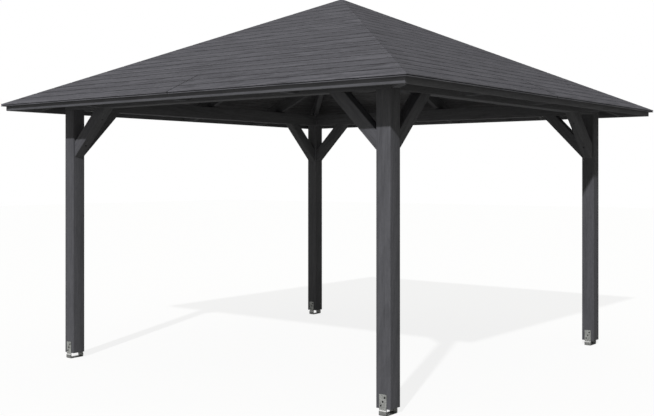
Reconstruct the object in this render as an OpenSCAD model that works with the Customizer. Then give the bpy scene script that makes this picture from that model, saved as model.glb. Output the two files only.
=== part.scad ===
// Garden gazebo: a square open timber frame under a four-sided boarded roof.
// Four posts stand in steel shoes and carry a ring of beams with knee braces.
// Hip, middle and side rafters sit on the beams and carry the roof and its fascia.
// Millimetres, +Z up, origin on the ground under the middle of the plan, front towards -Y.

/* [Posts] */
// Side of the square posts, which the beams share as their thickness
post_w = 118; // [95:1:160]
// Distance between the middle lines of two neighbouring posts
post_spacing = 3400; // [2600:10:4400]
// Length of a post, from its sawn foot to the underside of the beams
post_h = 2155; // [1800:5:2700]
// Air gap between the ground and the sawn foot of a post
foot_gap = 48; // [20:1:90]

/* [Post shoes] */
// Width of the flat steel that the legs and the base of a shoe are made of
strap_w = 60; // [46:1:80]
// Thickness of the flat steel
strap_t = 5; // [3:0.5:8]
// How far the legs of a shoe reach up the post
strap_lap = 98; // [85:1:160]
// Height of the base's turned up ends, which hold the legs from outside
lip_h = 33; // [12:1:40]
// Diameter of the screw holes in the legs
screw_hole_d = 11; // [6:0.5:13]
// Sideways step from one screw hole to the next
screw_step_x = 16; // [0:0.5:16]
// Upward step from one screw hole to the next
screw_step_z = 28.5; // [15:0.5:32]
// Height of the middle screw hole above the foot of the post
screw_mid_z = 48.5; // [40:0.5:50]
// Diameter of the ground anchor's hole in the base of a shoe
anchor_hole_d = 14; // [8:1:20]

/* [Beams and braces] */
// Height of the beams
beam_h = 120; // [90:1:180]
// Thickness of a brace, which stands in the middle of the post's face
brace_w = 90; // [45:1:95]
// Depth of a brace, square to its length
brace_h = 95; // [70:1:130]
// Length that the lower edge of a brace covers along the post and along the beam
brace_run = 418; // [300:1:600]

/* [Roof frame] */
// Slope of the roof in degrees
pitch = 25; // [18:1:35]
// Thickness of the middle and side rafters
rafter_w = 45; // [35:1:70]
// Depth of the middle and side rafters, square to the slope
rafter_h = 120; // [95:1:160]
// Distance of the side rafters from the middle of their slope
rafter_offset = 1075; // [700:5:1300]
// Thickness of the hip rafters
hip_w = 50; // [40:1:80]
// How much deeper the hip rafters are than the others
hip_extra = 25; // [0:1:60]
// Upright depth of the notch that seats a rafter on its beam
seat_cut = 43; // [20:1:50]
// Room between the upright face of a notch and the beam
seat_clear = 1; // [0.5:0.5:3]

/* [Roof edge] */
// How far the roof boards reach out past the outer face of the beams
eave_overhang = 391; // [200:0.5:600]
// Thickness of the roof boards
board_t = 19; // [15:1:28]
// How far the roof boards stand out in front of the fascia
fascia_setback = 33; // [10:1:60]
// Thickness of the fascia boards
fascia_t = 20; // [15:1:30]
// Height of the outer face of the fascia, under the roof boards
fascia_h = 54; // [40:1:100]

/* [Hidden] */
// Each side and corner is the one before it, turned a quarter turn about the middle
SIDES = ["front", "right", "back", "left"];
CORNERS = ["front_right", "back_right", "back_left", "front_left"];
// Names of the two ends of each side, from its local -X end to its +X end
ENDS = [["left", "right"], ["front", "back"], ["right", "left"], ["back", "front"]];
QUARTERS = [0:3];

function brace_name(side, end) = str("brace_", SIDES[side], "_", ENDS[side][end]);
function rafter_name(side, place) =
    str("rafter_", SIDES[side], "_", place == 0 ? "middle" : ENDS[side][(place + 1) / 2]);

TIMBER = "#535458";
BOARDS = "#5e5f63";
STEEL = "#8d9092";

// Distances from the middle of the plan
post_mid = post_spacing / 2;
frame_out = post_mid + post_w / 2;
frame_in = post_mid - post_w / 2;
roof_out = frame_out + eave_overhang;
fascia_out = roof_out - fascia_setback;
tail_out = fascia_out - fascia_t;

// Heights above the ground
beam_bottom = foot_gap + post_h;
beam_top = beam_bottom + beam_h;
lap_z = beam_bottom + beam_h / 2;

// Upright depths of the sloping pieces, and where the underside of the roof boards lies
hip_pitch = atan(tan(pitch) / sqrt(2));
rafter_v = rafter_h / cos(pitch);
hip_v = (rafter_h + hip_extra) / cos(hip_pitch);
board_v = board_t / cos(pitch);
function under_z(d) = beam_top - seat_cut + rafter_v + (frame_out - d) * tan(pitch);
tail_z = under_z(fascia_out) - fascia_h;

// Half of a hip's thickness, measured along a side of the plan
hip_reach = hip_w / sqrt(2);
// Length by which a cutting solid passes what it cuts
over = 10;
// Number of straight sides that draw a round hole
hole_sides = 48;

// Draws an outline of distances from the middle and heights, and gives it a thickness along X
module upright(outline, thickness) {
    rotate([90, 0, -90]) linear_extrude(thickness, center = true) polygon(outline);
}

// The quarter of the plan between two hips, its tip moved out from the middle by reach
module front_quarter(reach = 0) {
    far = 2 * roof_out;
    linear_extrude(under_z(0) + board_v + over)
        polygon([[0, -reach], [-far, -far - reach], [far, -far - reach]]);
}

// The space under the roof boards and inside the fascia
module under_roof() {
    gable = [[-tail_out, 0], [tail_out, 0], [tail_out, under_z(tail_out)],
             [0, under_z(0)], [-tail_out, under_z(tail_out)]];
    intersection() {
        upright(gable, 2 * tail_out);
        rotate(90) upright(gable, 2 * tail_out);
    }
}

// A sloping bar towards the front, notched over the beam at heel and cut level at its tail
module rafter_bar(thickness, depth_v, stretch) {
    heel = frame_out * stretch + seat_clear;
    tail = tail_out * stretch;
    difference() {
        upright([[0, under_z(0)], [tail, under_z(tail_out)],
                 [tail, under_z(tail_out) - depth_v], [0, under_z(0) - depth_v]], thickness);
        upright([[-over, 0], [heel, 0], [heel, beam_top], [-over, beam_top]], thickness + 2 * over);
        upright([[-over, 0], [tail + over, 0], [tail + over, tail_z], [-over, tail_z]],
                thickness + 2 * over);
    }
}

// Places something at a corner without turning it
module at_corner(i) {
    x = [1, 1, -1, -1][i];
    y = [-1, 1, 1, -1][i];
    translate([x * post_mid, y * post_mid, 0]) children();
}

module post(i) {
    color(TIMBER) at_corner(i)
        translate([-post_w / 2, -post_w / 2, foot_gap]) cube([post_w, post_w, post_h]);
}

// Two flat steel legs on the front and back faces of the post, inside the turned up ends of a base
module shoe(i) {
    leg_top = foot_gap + strap_lap;
    over_legs = post_w + 2 * strap_t;
    outer = over_legs + 2 * strap_t;
    color(STEEL) at_corner(i) difference() {
        union() {
            translate([-strap_w / 2, -outer / 2, 0]) cube([strap_w, outer, lip_h]);
            translate([-strap_w / 2, -over_legs / 2, 0]) cube([strap_w, over_legs, leg_top]);
        }
        translate([-strap_w / 2 - over, -post_w / 2, strap_t])
            cube([strap_w + 2 * over, post_w, leg_top]);
        for (k = [-1:1])
            translate([k * screw_step_x, outer / 2 + over, foot_gap + screw_mid_z + k * screw_step_z])
                rotate([90, 0, 0]) cylinder(d = screw_hole_d, h = outer + 2 * over, $fn = hole_sides);
        translate([0, 0, -over]) cylinder(d = anchor_hole_d, h = strap_t + 2 * over, $fn = hole_sides);
    }
}

// The front and back beams run through under the half-lapped ends of the other two
module beam(i) {
    runs_under = i % 2 == 0;
    lap_low = runs_under ? lap_z : beam_bottom - over;
    color(TIMBER) rotate(90 * i) difference() {
        translate([-frame_out, -frame_out, beam_bottom]) cube([2 * frame_out, post_w, beam_h]);
        for (x = [-frame_out - over, frame_in])
            translate([x, -frame_out - over, lap_low])
                cube([post_w + over, post_w + 2 * over, beam_h / 2 + over]);
    }
}

// A knee brace in the angle between a post and the underside of a beam
module brace(side, end) {
    inner_run = brace_run - brace_h * sqrt(2);
    outline = [[0, -brace_run], [brace_run, 0], [inner_run, 0], [0, -inner_run]];
    color(TIMBER) rotate(90 * side) mirror([end, 0, 0])
        translate([-frame_in, -post_mid, beam_bottom])
            rotate([90, 0, 0]) linear_extrude(brace_w, center = true) polygon(outline);
}

// A hip rafter, bevelled on top to both slopes and pointed to meet the other three
module hip(i) {
    color(TIMBER) rotate(90 * i) intersection() {
        rotate(45) intersection() {
            rafter_bar(hip_w, hip_v, sqrt(2));
            front_quarter();
        }
        under_roof();
    }
}

// A middle or side rafter, its head cut to the sides of the hips
module rafter(side, place) {
    color(TIMBER) rotate(90 * side) intersection() {
        translate([place * rafter_offset, 0, 0]) rafter_bar(rafter_w, rafter_v, 1);
        front_quarter(hip_reach);
    }
}

// A fascia board, mitred at the corners and bevelled on top to the slope
module fascia(i) {
    section = [[tail_out, tail_z], [fascia_out, tail_z],
               [fascia_out, under_z(fascia_out)], [tail_out, under_z(tail_out)]];
    color(TIMBER) rotate(90 * i) intersection() {
        upright(section, 2 * fascia_out);
        front_quarter();
    }
}

// One slope of roof boards, mitred along the hips
module roof(i) {
    section = [[0, under_z(0)], [roof_out, under_z(roof_out)],
               [roof_out, under_z(roof_out) + board_v], [0, under_z(0) + board_v]];
    color(BOARDS) rotate(90 * i) intersection() {
        upright(section, 2 * roof_out);
        front_quarter();
    }
}

for (i = QUARTERS) {
    post(i);
    shoe(i);
    beam(i);
    for (end = [0, 1])
        brace(i, end);
    hip(i);
    for (place = [-1:1])
        rafter(i, place);
    fascia(i);
    roof(i);
}
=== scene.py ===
import math
import random

import bmesh
import bpy
from mathutils import Matrix, Vector


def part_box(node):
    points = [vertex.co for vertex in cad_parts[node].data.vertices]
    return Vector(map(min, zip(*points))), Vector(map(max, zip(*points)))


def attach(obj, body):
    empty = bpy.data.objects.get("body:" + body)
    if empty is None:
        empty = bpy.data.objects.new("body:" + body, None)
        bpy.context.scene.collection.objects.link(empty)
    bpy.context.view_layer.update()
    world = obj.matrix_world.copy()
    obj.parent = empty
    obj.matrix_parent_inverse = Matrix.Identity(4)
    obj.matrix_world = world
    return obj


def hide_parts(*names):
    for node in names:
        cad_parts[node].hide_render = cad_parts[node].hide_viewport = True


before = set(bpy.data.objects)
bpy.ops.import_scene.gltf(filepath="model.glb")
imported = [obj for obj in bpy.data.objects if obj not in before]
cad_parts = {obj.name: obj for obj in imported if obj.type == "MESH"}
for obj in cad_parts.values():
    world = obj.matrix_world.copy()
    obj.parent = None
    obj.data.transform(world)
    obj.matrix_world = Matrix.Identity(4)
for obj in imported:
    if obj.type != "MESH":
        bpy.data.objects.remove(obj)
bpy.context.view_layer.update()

# The studio: a pale floor under a white sky, one lamp high in front and a little to the right, a soft panel
# low in front, and a level camera at standing eye height off the front right corner.
scene = bpy.context.scene
scene.view_settings.view_transform = "Standard"

LEVEL = math.radians(90)
EYE, HEADING = (5.429, -7.079, 1.621), math.radians(37.36)
LENS, SHIFT_X, SHIFT_Y = 53.03, -0.0259, -0.0498
bpy.ops.object.camera_add(location=EYE, rotation=(LEVEL, 0, HEADING))
camera = bpy.context.object
camera.data.lens = LENS
camera.data.shift_x, camera.data.shift_y = SHIFT_X, SHIFT_Y
scene.camera = camera

TO_LAMP = Vector((0.3354, -0.7776, 0.5318))
LAMP_STRENGTH, LAMP_SPREAD = 2.75, math.radians(1.5)
bpy.ops.object.light_add(type="SUN", rotation=TO_LAMP.to_track_quat("Z", "Y").to_euler())
lamp = bpy.context.object
lamp.data.energy = LAMP_STRENGTH
lamp.data.angle = LAMP_SPREAD

PANEL_PLACE, PANEL_HEADING = (2.0, -11.0, 1.8), math.radians(10)
PANEL_W, PANEL_H, PANEL_POWER = 10, 3, 80
bpy.ops.object.light_add(type="AREA", location=PANEL_PLACE, rotation=(LEVEL, 0, PANEL_HEADING))
panel = bpy.context.object
panel.data.shape = "RECTANGLE"
panel.data.size, panel.data.size_y = PANEL_W, PANEL_H
panel.data.energy = PANEL_POWER


def feed(tree, node, feeds):
    """Feeds a node's sockets from other nodes or with plain values."""
    for socket, value in feeds.items():
        if isinstance(value, bpy.types.NodeSocket):
            tree.links.new(value, node.inputs[socket])
        else:
            node.inputs[socket].default_value = value


def new_node(tree, kind, feeds=None, **settings):
    """Adds a shader node with its settings and with what feeds it."""
    made = tree.nodes.new(kind)
    for key, value in settings.items():
        setattr(made, key, value)
    feed(tree, made, feeds or {})
    return made


def sums(tree, operation, *values):
    """Chains two or more numbers with one kind of sum."""
    total = values[0]
    for value in values[1:]:
        total = new_node(tree, "ShaderNodeMath", {0: total, 1: value}, operation=operation).outputs[0]
    return total


def seen_directly(tree):
    """1 for rays from the camera and for those that metal or glass sends on, 0 for light that scatters."""
    rays = new_node(tree, "ShaderNodeLightPath").outputs
    return sums(tree, "MAXIMUM", rays["Is Camera Ray"], rays["Is Glossy Ray"], rays["Is Transmission Ray"])


WHITE = (1, 1, 1, 1)
SKY_TINT, SKY_STRENGTH = (1.0, 1.0, 0.91, 1), 0.27
scene.world = bpy.data.worlds.new("white_studio")
scene.world.use_nodes = True
sky = scene.world.node_tree
sky.nodes.clear()
dim_sky = new_node(sky, "ShaderNodeBackground", {"Color": SKY_TINT, "Strength": SKY_STRENGTH})
white_sky = new_node(sky, "ShaderNodeBackground", {"Color": WHITE, "Strength": 1.0})
sky_mix = new_node(sky, "ShaderNodeMixShader",
                   {0: seen_directly(sky), 1: dim_sky.outputs[0], 2: white_sky.outputs[0]})
new_node(sky, "ShaderNodeOutputWorld", {"Surface": sky_mix.outputs[0]})

FLOOR_SIZE, FLOOR_DROP, FLOOR_GLOW = 80, 0.0005, 0.84
SHADOW_GREY, BOUNCE_TINT = (0.2, 0.2, 0.2, 1), (0.45, 0.45, 0.41, 1)
bpy.ops.mesh.primitive_plane_add(size=FLOOR_SIZE, location=(0, 0, -FLOOR_DROP))
floor = bpy.context.object
floor.name = floor.data.name = "studio_floor"
pale_floor = bpy.data.materials.new("pale_floor")
pale_floor.use_nodes = True
tree = pale_floor.node_tree
tree.nodes.clear()
glow = new_node(tree, "ShaderNodeEmission", {"Color": WHITE, "Strength": FLOOR_GLOW})
shadow_catch = new_node(tree, "ShaderNodeBsdfDiffuse", {"Color": SHADOW_GREY})
shown = new_node(tree, "ShaderNodeAddShader", {0: glow.outputs[0], 1: shadow_catch.outputs[0]})
bounce = new_node(tree, "ShaderNodeBsdfDiffuse", {"Color": BOUNCE_TINT})
floor_mix = new_node(tree, "ShaderNodeMixShader",
                     {0: seen_directly(tree), 1: bounce.outputs[0], 2: shown.outputs[0]})
new_node(tree, "ShaderNodeOutputMaterial", {"Surface": floor_mix.outputs[0]})
floor.data.materials.append(pale_floor)

# Post shoes: dull galvanised flat steel, with painted shade darkening the base and the sawn edges. A base
# with turned up ends holds two legs from outside, and a weld bead, sprayed with bright zinc whose silver is
# partly a painted highlight, runs along the top of each end. A hole in the base takes the ground anchor.
CORNERS = ("front_right", "back_right", "back_left", "front_left")
post_lo, post_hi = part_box("post_front_right")
shoe_lo, shoe_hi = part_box("shoe_front_right")
corner = Vector(((post_lo.x + post_hi.x) / 2, (post_lo.y + post_hi.y) / 2, 0))
steel_w, base_len = shoe_hi.x - shoe_lo.x, shoe_hi.y - shoe_lo.y
steel_t, steel_arris, lip_h, bend_r = 0.005, 0.0008, 0.033, 0.009
leg_foot = bend_r
leg_len = shoe_hi.z - leg_foot
anchor_r, anchor_drill, screw_hole_r, screw_drill = 0.007, 0.05, 0.0055, 0.2
SCREW_ROW = (-1, 0, 1)
screw_step_x, screw_step_z, screw_lift = 0.016, 0.0285, 0.0485
screw_mid_z = post_lo.z + screw_lift
# Points this near to each other count as level, and faces with this share of their normal as facing a way
NEAR, FACING = 0.001, 0.9
# Edges that turn more than this are eased
SHARP = math.radians(40)
ALONG_Y = (LEVEL, 0, 0)


def only(piece):
    """Selects one object alone, so that the next operator acts on nothing else."""
    bpy.ops.object.select_all(action="DESELECT")
    piece.select_set(True)
    bpy.context.view_layer.objects.active = piece


def settle(piece):
    """Puts an object's place, turn and scale into its mesh."""
    only(piece)
    bpy.ops.object.transform_apply(location=True, rotation=True, scale=True)


def start_edit(piece):
    """Opens a piece in edit mode with nothing selected."""
    only(piece)
    bpy.ops.object.mode_set(mode="EDIT")
    bpy.ops.mesh.select_all(action="DESELECT")


def end_edit():
    """Closes edit mode."""
    bpy.ops.object.mode_set(mode="OBJECT")


def pick(piece, kind, wanted):
    """In edit mode, selects the edges or faces that the test wants, and nothing else."""
    bpy.ops.mesh.select_mode(type=kind)
    bpy.ops.mesh.select_all(action="DESELECT")
    mesh = bmesh.from_edit_mesh(piece.data)
    for element in (mesh.edges if kind == "EDGE" else mesh.faces):
        if wanted(element):
            element.select_set(True)
    bmesh.update_edit_mesh(piece.data)


def draw_out(*move):
    """In edit mode, extrudes what is selected."""
    bpy.ops.mesh.extrude_region_move(TRANSFORM_OT_translate={"value": move})


def ease(width, steps):
    """In edit mode, rounds the selected edges, or chamfers them in one step."""
    bpy.ops.mesh.bevel(offset=width, segments=steps, affect="EDGES")


def finish_with(piece, kind, **settings):
    """Adds a modifier and applies it."""
    only(piece)
    added = piece.modifiers.new(kind.title(), kind)
    for key, value in settings.items():
        setattr(added, key, value)
    bpy.ops.object.modifier_apply(modifier=added.name)


def cut_away(piece, cutter):
    """Takes the cutter's shape out of a piece and throws the cutter away."""
    finish_with(piece, "BOOLEAN", operation="DIFFERENCE", solver="EXACT", object=cutter)
    bpy.data.objects.remove(cutter)


def joined(name, *parts):
    """Joins objects into the first one."""
    bpy.ops.object.select_all(action="DESELECT")
    for part in parts:
        part.select_set(True)
    bpy.context.view_layer.objects.active = parts[0]
    bpy.ops.object.join()
    parts[0].name = parts[0].data.name = name
    return parts[0]


def copied(piece, name, move):
    """A copy with a mesh of its own, moved or turned within that mesh."""
    twin = piece.copy()
    twin.data = piece.data.copy()
    twin.name = twin.data.name = name
    twin.data.transform(move)
    scene.collection.objects.link(twin)
    return twin


def quarter_turn(times):
    """Turns a piece about the middle of the plan."""
    return Matrix.Rotation(times * math.pi / 2, 4, "Z")


def to_corner(i):
    """Moves a piece from the front right corner to another one without turning it."""
    return Matrix.Translation(quarter_turn(i) @ corner - corner)


def four_of(piece, name, places, move):
    """The piece and three copies of it, moved round to the other places."""
    return [piece] + [copied(piece, f"{name}_{place}", move(i)) for i, place in enumerate(places) if i]


def round_rod(radius, length, middle, turn=(0, 0, 0), sides=32):
    """A plain round bar, to drill with or to shape further."""
    bpy.ops.mesh.primitive_cylinder_add(vertices=sides, radius=radius, depth=length,
                                        location=middle, rotation=turn)
    rod = bpy.context.object
    settle(rod)
    return rod


def runs_across(edge):
    """True for an edge of the base that runs from side to side."""
    return abs(edge.verts[0].co.y - edge.verts[1].co.y) < NEAR


bpy.ops.mesh.primitive_plane_add(size=1, location=corner)
base = bpy.context.object
base.scale = (steel_w, base_len, 1)
settle(base)
start_edit(base)
pick(base, "EDGE", runs_across)
draw_out(0, 0, lip_h)
pick(base, "EDGE", lambda e: runs_across(e) and all(v.co.z < NEAR for v in e.verts))
ease(bend_r, steps=5)
end_edit()
finish_with(base, "SOLIDIFY", thickness=steel_t, offset=1, use_even_offset=True)
cut_away(base, round_rod(anchor_r, anchor_drill, corner))

leg_pair = []
for y in (post_lo.y - steel_t / 2, post_hi.y + steel_t / 2):
    bpy.ops.mesh.primitive_cube_add(size=1, location=(corner.x, y, leg_foot + leg_len / 2))
    leg = bpy.context.object
    leg.scale = (steel_w, steel_t, leg_len)
    settle(leg)
    leg_pair.append(leg)
legs = joined("legs", *leg_pair)
drills = []
for k in SCREW_ROW:
    hole = (corner.x + k * screw_step_x, corner.y, screw_mid_z + k * screw_step_z)
    drills.append(round_rod(screw_hole_r, screw_drill, hole, ALONG_Y))
cut_away(legs, joined("drills", *drills))

# Painted shade: how much of the zinc's brightness is taken off the sawn edges, the base under the posts and
# the legs
EDGE_SHADE, BASE_SHADE, LEG_SHADE = 0.55, 0.35, 0.0
for plain, shade_share in ((base, BASE_SHADE), (legs, LEG_SHADE)):
    finish_with(plain, "BEVEL", width=steel_arris, segments=2, limit_method="ANGLE", angle_limit=SHARP)
    dull = plain.data.attributes.new("dull", "FLOAT", "FACE")
    for face, note in zip(plain.data.polygons, dull.data):
        note.value = EDGE_SHADE if abs(face.normal.x) > FACING else shade_share
shoe = joined("post_shoe_front_right", base, legs)


def new_material(name):
    """A material with one Principled shader, and its node tree."""
    material = bpy.data.materials.new(name)
    material.use_nodes = True
    return material, material.node_tree, material.node_tree.nodes["Principled BSDF"]


def coat(piece, material):
    """Gives a piece one finish all over."""
    piece.data.materials.clear()
    piece.data.materials.append(material)


def ramp(tree, value, low, high, from_low=0.0, from_high=1.0):
    """Carries a value smoothly from one range to another."""
    return new_node(tree, "ShaderNodeMapRange", {"Value": value, "From Min": from_low, "From Max": from_high,
                                                 "To Min": low, "To Max": high},
                    interpolation_type="SMOOTHSTEP").outputs[0]


def swing(tree, value, share, from_low=0.0, from_high=1.0):
    """Lets a pattern swing by a share to either side of nothing."""
    return ramp(tree, value, -share, share, from_low, from_high)


def noted(tree, name):
    """What the mesh notes under a name."""
    return new_node(tree, "ShaderNodeAttribute", attribute_name=name).outputs


def cloudy(tree, repeats, detail):
    """Plain cloudy noise, in repeats to the metre."""
    place = new_node(tree, "ShaderNodeTexCoord").outputs["Object"]
    return new_node(tree, "ShaderNodeTexNoise",
                    {"Vector": place, "Scale": repeats, "Detail": detail}).outputs["Fac"]


def grey_paint(tree, value, tint=(1.0, 1.0, 1.0)):
    """A grey of this brightness, with a slight tint."""
    shares = {k: sums(tree, "MULTIPLY", value, share) for k, share in enumerate(tint)}
    return new_node(tree, "ShaderNodeCombineColor", shares).outputs[0]


# Crystals and clouds in the zinc: repeats to the metre, and how far they swing the grey
SPANGLES, SPANGLE_SWING, CLOUDS, CLOUD_SWING = 130.0, 0.05, 45.0, 0.07
ZINC_GREY, ZINC_TINT, ZINC_ROUGH, ZINC_METAL = 0.25, (0.98, 1.0, 0.97), 0.56, 0.25
galvanised, tree, shader = new_material("galvanised_steel")
place = new_node(tree, "ShaderNodeTexCoord").outputs["Object"]
spangle = new_node(tree, "ShaderNodeTexVoronoi", {"Vector": place, "Scale": SPANGLES}).outputs["Color"]
crystal = new_node(tree, "ShaderNodeSeparateColor", {0: spangle}).outputs[0]
cloud = cloudy(tree, CLOUDS, detail=4.0)
zinc = sums(tree, "ADD", swing(tree, crystal, SPANGLE_SWING), swing(tree, cloud, CLOUD_SWING))
# The zinc grey is darkened by the painted shade noted on each face
unshaded_zinc = sums(tree, "SUBTRACT", 1.0, noted(tree, "dull")["Fac"])
grey = sums(tree, "MULTIPLY", sums(tree, "ADD", zinc, ZINC_GREY), unshaded_zinc)
bump = new_node(tree, "ShaderNodeBump", {"Height": cloud, "Strength": 0.25, "Distance": 0.001})
feed(tree, shader, {"Base Color": grey_paint(tree, grey, ZINC_TINT), "Normal": bump.outputs[0],
                    "Roughness": sums(tree, "SUBTRACT", ZINC_ROUGH, zinc), "Metallic": ZINC_METAL})
coat(shoe, galvanised)

# The weld bead's silver grey is zinc spray and partly a painted highlight, much brighter than the shoe's zinc
SPECKLES, SILVER_AND_HIGHLIGHT, WELD_ROUGH, WELD_METAL = 400.0, (0.55, 0.78), (0.5, 0.3), 0.2
weld_highlight, tree, shader = new_material("zinc_sprayed_weld")
speckle = cloudy(tree, SPECKLES, detail=3.0)
feed(tree, shader, {"Base Color": grey_paint(tree, ramp(tree, speckle, *SILVER_AND_HIGHLIGHT)),
                    "Roughness": ramp(tree, speckle, *WELD_ROUGH), "Metallic": WELD_METAL})

bead_r, bead_half, bead_lean, bead_step, bead_count = 0.0055, 0.0036, math.radians(25), 0.0042, 13
bead_out, bead_up, bead_voxel = 0.001, 0.0015, 0.0011
leg_face = post_lo.y - steel_t
bpy.ops.mesh.primitive_uv_sphere_add(
    segments=16, ring_count=10, radius=1, rotation=(0, bead_lean, 0),
    location=(corner.x - bead_step * (bead_count - 1) / 2, leg_face - bead_out, lip_h + bead_up))
bead = bpy.context.object
bead.scale = (bead_half, bead_r, bead_r)
settle(bead)
finish_with(bead, "ARRAY", count=bead_count, use_relative_offset=False, use_constant_offset=True,
            constant_offset_displace=(bead_step, 0, 0))
finish_with(bead, "REMESH", mode="VOXEL", voxel_size=bead_voxel)
coat(bead, weld_highlight)
half_turn = Matrix.Translation(corner) @ quarter_turn(2) @ Matrix.Translation(-corner)
shoe = joined("post_shoe_front_right", shoe, bead, copied(bead, "back_bead", half_turn))
start_edit(shoe)
bpy.ops.mesh.select_all(action="SELECT")
bpy.ops.mesh.normals_make_consistent(inside=False)
end_edit()


# Edges that turn less than this look rounded
ROUNDED = math.radians(35)


def hand_over(piece, slot, *nodes):
    """Smooths what is rounded and lets the piece stand for its solids."""
    only(piece)
    bpy.ops.object.shade_smooth_by_angle(angle=ROUNDED)
    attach(piece, "root")
    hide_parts(*nodes)


for piece, name in zip(four_of(shoe, "post_shoe", CORNERS, to_corner), CORNERS):
    hand_over(piece, "galvanised_steel", f"shoe_{name}")

# Shoe screws: blackened pan head screws with a round socket, three in each leg, driven through the slanting
# row of holes into the post. Their heads are wider than the holes and bear on the legs.
head_r, head_h, head_round, socket_rim, socket_d = 0.0062, 0.0042, 0.0026, 0.0006, 0.0024
head_top = leg_face - head_h
# A hair's breadth, within which points count as on one face, and how squarely a flat face looks out
HAIR, FLAT = 0.0001, 0.99
head = round_rod(head_r, head_h, (corner.x, leg_face - head_h / 2, screw_mid_z), ALONG_Y, sides=24)
start_edit(head)
pick(head, "EDGE", lambda e: all(v.co.y < head_top + HAIR for v in e.verts))
ease(head_round, steps=4)
pick(head, "FACE", lambda f: f.normal.y < -FLAT and f.calc_center_median().y < head_top + HAIR)
bpy.ops.mesh.inset(thickness=socket_rim)
draw_out(0, socket_d, 0)
end_edit()

SMUDGES, BLACK, BLACK_ROUGH, BLACK_GLOSS = 600.0, (0.008, 0.02), (0.55, 0.8), 0.2
blackened, tree, shader = new_material("blackened_steel")
smudge = cloudy(tree, SMUDGES, detail=3.0)
feed(tree, shader, {"Base Color": grey_paint(tree, ramp(tree, smudge, *BLACK)),
                    "Roughness": ramp(tree, smudge, *BLACK_ROUGH), "Specular IOR Level": BLACK_GLOSS})
coat(head, blackened)

heads = [copied(head, "screw", Matrix.Translation((k * screw_step_x, 0, k * screw_step_z)))
         for k in SCREW_ROW]
heads += [copied(front_head, "screw", half_turn) for front_head in heads]
screws = joined("shoe_screws_front_right", *heads)
for piece in four_of(screws, "shoe_screws", CORNERS, to_corner):
    hand_over(piece, None)

# Posts: square planed softwood, long arrises rounded, stained anthracite before assembly. Each stands
# on nothing but its two shoe legs, its sawn foot a few centimetres off the ground.
post_w, post_len = post_hi.x - post_lo.x, post_hi.z - post_lo.z
ARRIS = 0.004
log_len, pith_off = 60, 0.09
log_choice = random.Random(20)


def planed_stick(name, length, width, depth, arris=ARRIS):
    """A stick along its own X axis, with its four long arrises rounded by the planer."""
    bpy.ops.object.select_all(action="DESELECT")
    bpy.ops.mesh.primitive_cube_add(size=1)
    stick = bpy.context.object
    stick.name = stick.data.name = name
    stick.scale = (length, width, depth)
    settle(stick)
    start_edit(stick)
    pick(stick, "EDGE", lambda e: abs(e.verts[0].co.x - e.verts[1].co.x) > length / 2)
    ease(arris, steps=3)
    end_edit()
    return stick


def laid(along, face, middle):
    """Where a stick lies: its length along one direction and its upper face towards another."""
    x, z = Vector(along).normalized(), Vector(face).normalized()
    return Matrix.Translation(middle) @ Matrix((x, z.cross(x), z)).transposed().to_4x4()


def keep_grain(piece, place):
    """Notes at every point where it lay in the unsawn stick, which the grain follows."""
    back = place.inverted()
    grain = piece.data.attributes.new("grain", "FLOAT_VECTOR", "POINT")
    for point, note in zip(piece.data.vertices, grain.data):
        note.vector = back @ point.co


def own_log(piece, tone, lean):
    """Gives a piece its own stretch of a log and its own shade of the stain, which may lean dark or pale."""
    shift = Vector((log_choice.uniform(0, log_len), log_choice.uniform(-pith_off, pith_off),
                    log_choice.uniform(-pith_off, pith_off)))
    shade = lean + log_choice.uniform(-tone, tone)
    for note in piece.data.attributes["grain"].data:
        note.vector = Vector(note.vector) + shift
    for note in piece.data.attributes.new("tone", "FLOAT", "POINT").data:
        note.value = shade


GRAIN_SOCKETS = (("INPUT", "Stain", "Color"), ("INPUT", "Streaks", "Float"), ("INPUT", "Matt", "Float"),
                 ("OUTPUT", "Color", "Color"), ("OUTPUT", "Roughness", "Float"),
                 ("OUTPUT", "Height", "Float"))
grain_group = bpy.data.node_groups.new("stained_grain", "ShaderNodeTree")
for way, name, kind in GRAIN_SOCKETS:
    grain_group.interface.new_socket(name=name, in_out=way, socket_type=f"NodeSocket{kind}")
tree = grain_group
given = new_node(tree, "NodeGroupInput").outputs
grain = noted(tree, "grain")["Vector"]


def vectors(operation, *values):
    """A sum of vectors in the grain's group."""
    return new_node(tree, "ShaderNodeVectorMath", dict(enumerate(values)), operation=operation).outputs


def stretched(along, across):
    """The grain's coordinates, in repeats to the metre along and across it."""
    return vectors("MULTIPLY", grain, (along, across, across))[0]


def grain_noise(along, across, detail):
    """Noise that is stretched along the grain."""
    return new_node(tree, "ShaderNodeTexNoise", {"Vector": stretched(along, across), "Scale": 1.0,
                                                 "Detail": detail, "Roughness": 0.6}).outputs


# Year rings to the metre about a swaying, tapering pith, and the part of a year in which the late wood grows
RINGS, SWAY, TAPER, LATE_FROM, LATE_FULL = 190.0, 0.05, 0.012, 0.35, 0.9
NOISE_MEAN = (0.5, 0.5, 0.5)
sway = vectors("SUBTRACT", grain_noise(along=0.9, across=5, detail=1.0)["Color"], NOISE_MEAN)[0]
bent = vectors("ADD", grain, vectors("MULTIPLY", sway, (0, SWAY, SWAY))[0])[0]
radius = vectors("LENGTH", vectors("MULTIPLY", bent, (TAPER, 1, 1))[0])["Value"]
years = sums(tree, "MULTIPLY", radius, RINGS)
season = new_node(tree, "ShaderNodeMath", {0: years}, operation="FRACT").outputs[0]
late = sums(tree, "MULTIPLY", ramp(tree, season, 0.0, 1.0, LATE_FROM, LATE_FULL),
            ramp(tree, season, 1.0, 0.0, LATE_FULL, 1.0))

streak = grain_noise(along=0.5, across=26, detail=3.0)["Fac"]
dash = grain_noise(along=2.4, across=46, detail=3.0)["Fac"]
fibre = grain_noise(along=7, across=520, detail=2.0)["Fac"]
blotch = grain_noise(along=1.7, across=5, detail=2.0)["Fac"]
mottle = grain_noise(along=24, across=70, detail=2.0)["Fac"]

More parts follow.
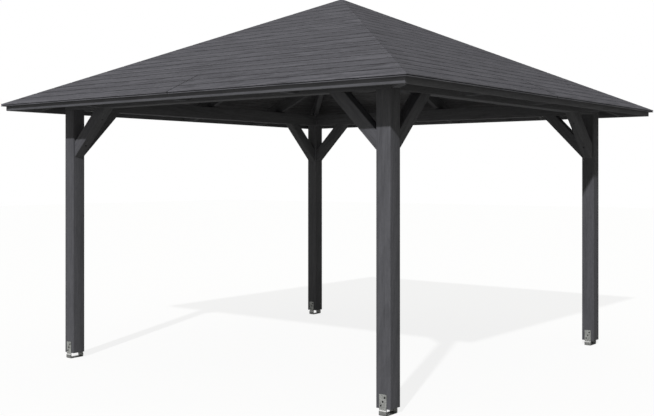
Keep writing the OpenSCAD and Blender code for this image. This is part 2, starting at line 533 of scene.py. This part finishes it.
# A knot sits in the middle of a few of the cells, the rest of which stay clear
KNOT_CORE, KNOT_RIM, KNOT_CLEAR = 0.05, 0.13, 0.86
cells = new_node(tree, "ShaderNodeTexVoronoi",
                 {"Vector": stretched(along=2.6, across=7), "Scale": 1.0}).outputs
chance = new_node(tree, "ShaderNodeSeparateColor", {0: cells["Color"]}).outputs[0]
knot = sums(tree, "MULTIPLY", ramp(tree, cells["Distance"], 1.0, 0.0, KNOT_CORE, KNOT_RIM),
            sums(tree, "GREATER_THAN", chance, KNOT_CLEAR))

# How far each pattern darkens or pales the stain, how far painted shade darkens it, and the ranges that most
# of a noise lies in
STREAK, DASH, MOTTLE, LATE, FIBRE, BLOTCH, KNOT, PAINTED_SHADE_DEPTH = 0.04, 0.06, 0.045, 0.075, 0.11, 0.05, 0.3, 0.92
MIDDLE, WIDE = (0.25, 0.75), (0.2, 0.8)
figure = sums(tree, "ADD", swing(tree, streak, STREAK, *MIDDLE), swing(tree, dash, DASH, *MIDDLE),
              swing(tree, mottle, MOTTLE, *MIDDLE), sums(tree, "MULTIPLY", late, -LATE))
depth = sums(tree, "ADD", 1.0, noted(tree, "tone")["Fac"], sums(tree, "MULTIPLY", given["Streaks"], figure),
             swing(tree, fibre, FIBRE, *WIDE), swing(tree, blotch, BLOTCH, *MIDDLE),
             sums(tree, "MULTIPLY", knot, -KNOT))
# Painted shade on the walls of the roof boards' joints and on their underside darkens the stain
unshaded_wood = sums(tree, "SUBTRACT", 1.0, sums(tree, "MULTIPLY", noted(tree, "joint")["Fac"], PAINTED_SHADE_DEPTH))
stained = new_node(tree, "ShaderNodeVectorMath",
                   {0: given["Stain"], "Scale": sums(tree, "MULTIPLY", depth, unshaded_wood)}, operation="SCALE")

FIBRE_ROUGH, STREAK_ROUGH, LATE_DEEP, KNOT_DEEP = 0.07, 0.04, 0.5, 0.4
rough = sums(tree, "ADD", given["Matt"], swing(tree, fibre, -FIBRE_ROUGH), swing(tree, streak, STREAK_ROUGH))
height = sums(tree, "ADD", fibre, sums(tree, "MULTIPLY", late, -LATE_DEEP),
              sums(tree, "MULTIPLY", knot, -KNOT_DEEP))
new_node(tree, "NodeGroupOutput", {"Color": stained.outputs[0], "Roughness": rough, "Height": height})


def stained_wood(name, stain, streaks, matt, gloss):
    """The stain on planed wood, with the grain just showing through and felt by the light."""
    material, tree, shader = new_material(name)
    wood = new_node(tree, "ShaderNodeGroup", {"Stain": (*stain, 1), "Streaks": streaks, "Matt": matt},
                    node_tree=grain_group).outputs
    bump = new_node(tree, "ShaderNodeBump", {"Height": wood["Height"], "Strength": 0.35, "Distance": 0.0006})
    feed(tree, shader, {"Base Color": wood["Color"], "Roughness": wood["Roughness"],
                        "Normal": bump.outputs[0], "Specular IOR Level": gloss})
    return material


ANTHRACITE = (0.0892, 0.0892, 0.0996)
frame_stain = stained_wood("stained_frame_timber", ANTHRACITE, streaks=1.35, matt=0.86, gloss=0.05)


def finish_timber(piece, slot, material, *nodes, tone=0.04, lean=0.0):
    """The stain goes on and the piece takes its place in the frame."""
    coat(piece, material)
    own_log(piece, tone, lean)
    hand_over(piece, slot, *nodes)


# How far each post's stain leans dark or pale: tone that differs from post to post, and painted light on the
# back left post, paler as it stands wholly in the roof's shade
POST_TONE_AND_LIGHT = (0.01, -0.08, 0.14, 0.01)
place = laid((0, 0, 1), (0, -1, 0), corner + Vector((0, 0, (post_lo.z + post_hi.z) / 2)))
post = planed_stick("corner_post_front_right", post_len, post_w, post_w)
post.data.transform(place)
keep_grain(post, place)
for piece, name, lean in zip(four_of(post, "corner_post", CORNERS, quarter_turn), CORNERS, POST_TONE_AND_LIGHT):
    finish_timber(piece, "frame_timber", frame_stain, f"post_{name}", tone=0.01, lean=lean)

# Beams: four planed timbers as thick as the posts, laid in a ring on the post tops. The ends are half-lapped
# over each post, the front and back beams below; the screws down through the laps are not modelled.
SIDES = ("front", "right", "back", "left")
beam_top, beam_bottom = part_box("beam_right")[1].z, post_hi.z
frame_out, frame_in = post_hi.x, post_lo.x
lap_z = (beam_bottom + beam_top) / 2
place = laid((1, 0, 0), (0, 0, 1), (0, corner.y, lap_z))
beams = []
for under, side, far_side in ((True, "front", "back"), (False, "right", "left")):
    beam = planed_stick(f"ring_beam_{side}", 2 * frame_in, post_w, beam_top - beam_bottom)
    beam.data.transform(place)
    start_edit(beam)
    bpy.ops.mesh.select_all(action="SELECT")
    bpy.ops.mesh.bisect(plane_co=(0, 0, lap_z), plane_no=(0, 0, 1))
    for way in (-1, 1):
        pick(beam, "FACE", lambda f: f.normal.x * way > FACING
             and (f.calc_center_median().z < lap_z) == under)
        draw_out(way * post_w, 0, 0)
    end_edit()
    keep_grain(beam, place)
    if not under:
        beam.data.transform(quarter_turn(1))
    beams += [beam, copied(beam, f"ring_beam_{far_side}", quarter_turn(2))]
for piece in beams:
    finish_timber(piece, "frame_timber", frame_stain, piece.name.replace("ring_", ""))

# Knee braces: short planed timbers a little thinner than the posts, sawn at 45 degrees at both ends. One long
# screw runs level into the post and one upright into the beam, their heads sunk into the lower face.
ENDS = (("left", "right"), ("front", "back"), ("right", "left"), ("back", "front"))
brace_lo, brace_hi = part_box("brace_front_left")
brace_run, brace_w, brace_d = brace_hi.x - brace_lo.x, brace_hi.y - brace_lo.y, 0.095
sink_r, sink_d, sink_step = 0.0075, 0.016, 0.11


def saw(piece, at, towards):
    """Saws a piece through at a point, square to a direction, and lets the part on that side fall off."""
    start_edit(piece)
    bpy.ops.mesh.select_all(action="SELECT")
    bpy.ops.mesh.bisect(plane_co=at, plane_no=towards, use_fill=True, clear_outer=True)
    end_edit()


knee = Vector((-frame_in, corner.y, beam_bottom))
lower = knee + Vector((brace_run / 2, 0, -brace_run / 2))
out = Vector((1, 0, -1)).normalized()
place = laid((1, 0, 1), -out, lower - out * brace_d / 2)
brace = planed_stick("knee_brace", 2 * brace_run, brace_w, brace_d)
brace.data.transform(place)
saw(brace, knee, (-1, 0, 0))
saw(brace, knee, (0, 0, 1))
# Which way along the brace each screw lies from the middle, and where its head looks
SCREW_LOOKS = ((-1, Vector((1, 0, 0))), (1, Vector((0, 0, -1))))
sinks = [(lower + Vector((way, 0, way)) * sink_step, to) for way, to in SCREW_LOOKS]
sink_drills = [round_rod(sink_r, 2 * sink_d, spot, to.to_track_quat("Z", "Y").to_euler(), sides=24)
               for spot, to in sinks]
cut_away(brace, joined("sink_drills", *sink_drills))
keep_grain(brace, place)
head_foot, head_looks = Vector((corner.x, leg_face, screw_mid_z)), Vector((0, -1, 0))
sunk_pair = []
for spot, to in sinks:
    turn = head_looks.rotation_difference(to).to_matrix().to_4x4()
    move = Matrix.Translation(spot - to * sink_d) @ turn @ Matrix.Translation(-head_foot)
    sunk_pair.append(copied(head, "sunk_head", move))
sunk_heads = joined("sunk_heads", *sunk_pair)
to_other_end = Matrix.Translation((0, 2 * corner.y, 0)) @ quarter_turn(2)
for i, side in enumerate(SIDES):
    for end, end_name in enumerate(ENDS[i]):
        move = quarter_turn(i) @ to_other_end if end else quarter_turn(i)
        twin = copied(brace, f"knee_brace_{side}_{end_name}", move)
        finish_timber(twin, "frame_timber", frame_stain, f"brace_{side}_{end_name}")
        hand_over(copied(sunk_heads, f"brace_screws_{side}_{end_name}", move), None)
for spare in (brace, head, sunk_heads):
    bpy.data.objects.remove(spare)

# Hip rafters: the four deep rafters on the diagonals, notched over the corners of the ring, bevelled on top
# to both slopes and mitred against each other at the apex.
PITCH = math.radians(25)
roof_lo, roof_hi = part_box("roof_front")
fascia_lo, fascia_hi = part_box("fascia_front")
roof_out, eave_z, tail_out, tail_z = -roof_lo.y, roof_lo.z, -fascia_hi.y, fascia_lo.z
hip_w, hip_d, seat_clear = 0.050, 0.145, 0.001
hip_pitch = math.atan(math.tan(PITCH) / math.sqrt(2))
slope_out = Vector((0, -math.sin(PITCH), math.cos(PITCH)))


def under_boards(x, y, d):
    """A point on the underside of the roof boards, at a distance d from the middle of the plan."""
    return Vector((x, y, eave_z + (roof_out - d) * math.tan(PITCH)))


def notch(piece, heel, turn=0.0, side=1.0):
    """Saws the seat out of a rafter where it lies over the ring of beams."""
    bpy.ops.mesh.primitive_cube_add(size=side)
    block = bpy.context.object
    seat = Matrix.Translation((0, side / 2 - heel, beam_top - side / 2))
    block.data.transform(Matrix.Rotation(turn, 4, "Z") @ seat)
    cut_away(piece, block)


half_way = tail_out / 2
flat = Vector((1, -1, 0)).normalized()
up_hip = Vector((-flat.x * math.cos(hip_pitch), -flat.y * math.cos(hip_pitch), math.sin(hip_pitch)))
hip_face = Vector((flat.x * math.sin(hip_pitch), flat.y * math.sin(hip_pitch), math.cos(hip_pitch)))
place = laid(up_hip, hip_face, under_boards(half_way, -half_way, half_way) - hip_face * hip_d / 2)
hip = planed_stick("hip_rafter_front_right", 3 * tail_out, hip_w, hip_d)
hip.data.transform(place)
eave = under_boards(0, -roof_out, roof_out)
saw(hip, eave, slope_out)
saw(hip, quarter_turn(1) @ eave, quarter_turn(1) @ slope_out)
for at, towards in (((0, -tail_out, 0), (0, -1, 0)), ((tail_out, 0, 0), (1, 0, 0)),
                    ((0, 0, tail_z), (0, 0, -1)), ((0, 0, 0), (-1, 0, 0)), ((0, 0, 0), (0, 1, 0))):
    saw(hip, at, towards)
notch(hip, frame_out * math.sqrt(2) + seat_clear, math.pi / 4)
keep_grain(hip, place)
for piece, name in zip(four_of(hip, "hip_rafter", CORNERS, quarter_turn), CORNERS):
    finish_timber(piece, "frame_timber", frame_stain, f"hip_{name}")

# Rafters: three to each slope, one in the middle and one at each side, notched over the beam. The heads are
# sawn to fit the sides of the hips and the tails are cut plumb and level for the fascia.
side_lo, side_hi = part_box("rafter_front_right")
side_x = (side_lo.x + side_hi.x) / 2
rafter_w, rafter_d, rafter_arris = 0.045, 0.120, 0.003
hip_reach = hip_w / math.sqrt(2)
up_slope = Vector((0, math.cos(PITCH), math.sin(PITCH)))
for step in (-1, 0, 1):
    x = step * side_x
    place = laid(up_slope, slope_out, under_boards(x, -half_way, half_way) - slope_out * rafter_d / 2)
    rafter = planed_stick(f"rafter_{step}", 2 * tail_out, rafter_w, rafter_d, rafter_arris)
    rafter.data.transform(place)
    for at, towards in (((0, -tail_out, 0), (0, -1, 0)), ((0, 0, tail_z), (0, 0, -1)),
                        ((0, -hip_reach, 0), (1, 1, 0)), ((0, -hip_reach, 0), (-1, 1, 0))):
        saw(rafter, at, towards)
    notch(rafter, frame_out + seat_clear)
    keep_grain(rafter, place)
    for i, side in enumerate(SIDES):
        spot_name = ENDS[i][(step + 1) // 2] if step else "middle"
        twin = copied(rafter, f"slope_rafter_{side}_{spot_name}", quarter_turn(i))
        finish_timber(twin, "frame_timber", frame_stain, f"rafter_{side}_{spot_name}")
    bpy.data.objects.remove(rafter)

# Fascia boards: planed boards fixed to the plumb cuts of the rafter tails, mitred at the corners, their upper
# edge bevelled to the slope so that the roof boards lie on it.
fascia_out, fascia_spare = -fascia_lo.y, 0.02
fascia_t, fascia_d = fascia_out - tail_out, fascia_hi.z - fascia_lo.z + fascia_spare
place = laid((1, 0, 0), (0, 0, 1), (0, -(fascia_out + tail_out) / 2, tail_z + fascia_d / 2))
fascia = planed_stick("fascia_board_front", 2 * roof_out, fascia_t, fascia_d)
fascia.data.transform(place)
saw(fascia, eave, slope_out)
saw(fascia, (0, 0, 0), (1, 1, 0))
saw(fascia, (0, 0, 0), (-1, 1, 0))
keep_grain(fascia, place)
for piece, side in zip(four_of(fascia, "fascia_board", SIDES, quarter_turn), SIDES):
    finish_timber(piece, "frame_timber", frame_stain, f"fascia_{side}", lean=0.06)

# Roof boards: twenty courses of tongued and grooved softwood to each slope, laid level and nailed, a dark gap
# at each joint, its walls darkened with painted shade as is the boards' underside. The three longest courses
# are butted over the middle rafter. All are mitred along the hips, and the lowest is sawn plumb through its
# groove, with its two long edges eased.
COURSES, BUTTED = 20, 3
board_t = (roof_hi.z - roof_lo.z - roof_out * math.tan(PITCH)) * math.cos(PITCH)
cover = roof_out / math.cos(PITCH) / COURSES
board_spare, slot_w, butt_gap, joint_gap, mitre_gap, vee = 0.1, 0.007, 0.008, 0.0006, 0.0006, 0.0025
tongue_t, tongue_w, groove_room = 0.005, 0.007, 0.001
groove_w = tongue_w + groove_room
eave_spare, groove_spare, eave_round, eave_arris = 0.02, 0.0057, 0.003, 0.0015
eave_top = eave_z + board_t / math.cos(PITCH)
slope_place = laid((1, 0, 0), slope_out, (0, -roof_out, eave_top))
# Faces that lean this far down or up the slope belong to a board's edge
LEANING = 0.5

bpy.ops.mesh.primitive_cube_add(size=1)
board = bpy.context.object
board.scale = (2 * roof_out + board_spare, cover - joint_gap, board_t)
settle(board)
start_edit(board)
pick(board, "EDGE", lambda e: abs(e.verts[0].co.x - e.verts[1].co.x) > roof_out and e.verts[0].co.z < 0)
ease(vee, steps=1)
for z in (-tongue_t / 2, tongue_t / 2):
    bpy.ops.mesh.select_all(action="SELECT")
    bpy.ops.mesh.bisect(plane_co=(0, 0, z), plane_no=(0, 0, 1))
for way, reach in ((1, tongue_w), (-1, groove_w)):
    pick(board, "FACE", lambda f: f.normal.y * way > FACING and abs(f.calc_center_median().z) < tongue_t / 2)
    draw_out(0, reach, 0)
pick(board, "FACE", lambda f: f.normal.y > FACING and f.calc_center_median().z > tongue_t / 2)
bpy.ops.transform.translate(value=(0, -slot_w, 0))
end_edit()


def at_eave(height):
    """A test for the long edge that lies at a height on the plumb face of the eave."""
    return lambda e: all(abs(v.co.y + roof_out) < HAIR and abs(v.co.z - height) < HAIR for v in e.verts)


# Painted shade: how dark the sheltered underside is painted, the walls of a joint being 1, and how near to a
# level a face counts as on it
UNDERSIDE_SHADE, SKIN = 0.22, 0.0005
PALE_ANTHRACITE = (0.124, 0.1225, 0.138)
roof_stain = stained_wood("stained_roof_boards", PALE_ANTHRACITE, streaks=2.6, matt=0.92, gloss=0.005)
courses = []
for course in range(COURSES):
    place = slope_place @ Matrix.Translation((0, (course + 0.5) * cover, -board_t / 2))
    for half in ((-1, 1) if course < BUTTED else (0,)):
        suffix = {-1: "_left", 0: "", 1: "_right"}[half]
        piece = copied(board, f"{course + 1:02d}{suffix}", Matrix.Identity(4))
        if course == 0:
            start_edit(piece)
            for in_groove, spare in ((False, eave_spare), (True, groove_spare)):
                pick(piece, "FACE", lambda f: f.normal.y < -LEANING
                     and (abs(f.calc_center_median().z) < tongue_t / 2) == in_groove)
                bpy.ops.transform.translate(value=(0, -spare, 0))
            end_edit()
        if course == COURSES - 1:
            start_edit(piece)
            pick(piece, "FACE", lambda f: f.normal.y > LEANING)
            bpy.ops.transform.translate(value=(0, cover, 0))
            end_edit()
        piece.data.transform(place)
        saw(piece, (0, -mitre_gap, 0), (1, 1, 0))
        saw(piece, (0, -mitre_gap, 0), (-1, 1, 0))
        if half:
            saw(piece, (half * butt_gap / 2, 0, 0), (-half, 0, 0))
        if course == 0:
            saw(piece, (0, -roof_out, 0), (0, -1, 0))
            start_edit(piece)
            for height, easing in ((eave_z, eave_round), (eave_top, eave_arris)):
                pick(piece, "EDGE", at_eave(height))
                ease(easing, steps=3)
            end_edit()
        keep_grain(piece, place)
        # Each face notes its painted shade: the underside, the walls of the joint gaps and, on the lowest
        # course, the exposed groove
        shade_notes = piece.data.attributes.new("joint", "FLOAT", "FACE")
        for face, note in zip(piece.data.polygons, shade_notes.data):
            inside = slope_place.inverted() @ face.center
            butt = half and abs(inside.x) < butt_gap
            if inside.z < SKIN - board_t:
                note.value = UNDERSIDE_SHADE
            elif course == 0 and inside.y < cover / 2 and not butt:
                note.value = float(abs(inside.z + board_t / 2) < tongue_t / 2 + SKIN)
            else:
                note.value = float(-board_t + vee < inside.z < -NEAR)
        courses.append(piece)
for i, side in enumerate(SIDES):
    for piece in courses:
        twin = copied(piece, f"roof_board_{side}_{piece.name}", quarter_turn(i))
        finish_timber(twin, "roof_boards", roof_stain, f"roof_{side}", tone=0.035)
for spare in (board, *courses):
    bpy.data.objects.remove(spare)

# Board nails: flat round heads of blackened steel, two to each board at every rafter and at each end over a
# hip, driven flush so that only the thin head stands on the board.
nail_r, nail_t, nail_sunk, nail_arris = 0.0033, 0.0012, 0.0004, 0.0004
nail_step, nail_edge = 0.03, 0.035
nail = round_rod(nail_r, nail_t, (0, 0, nail_t / 2 - nail_sunk), sides=10)
start_edit(nail)
pick(nail, "EDGE", lambda e: all(v.co.z > nail_t / 2 for v in e.verts))
ease(nail_arris, steps=1)
end_edit()
coat(nail, blackened)
nail_heads = []
for course in range(COURSES):
    for way in (-1, 1):
        y = (course + 0.5) * cover + way * nail_step
        reach = roof_out - y * math.cos(PITCH) - nail_edge
        if reach < nail_edge:
            continue
        spots = [-reach, reach]
        spots += [-rafter_w / 4, rafter_w / 4] if course < BUTTED else [0.0]
        spots += [-side_x, side_x] if reach > side_x + nail_edge else []
        nail_heads += [copied(nail, "nail", slope_place @ Matrix.Translation((x, y, 0))) for x in spots]
bpy.data.objects.remove(nail)
nails = joined("board_nails_front", *nail_heads)
for piece in four_of(nails, "board_nails", SIDES, quarter_turn):
    hand_over(piece, None)
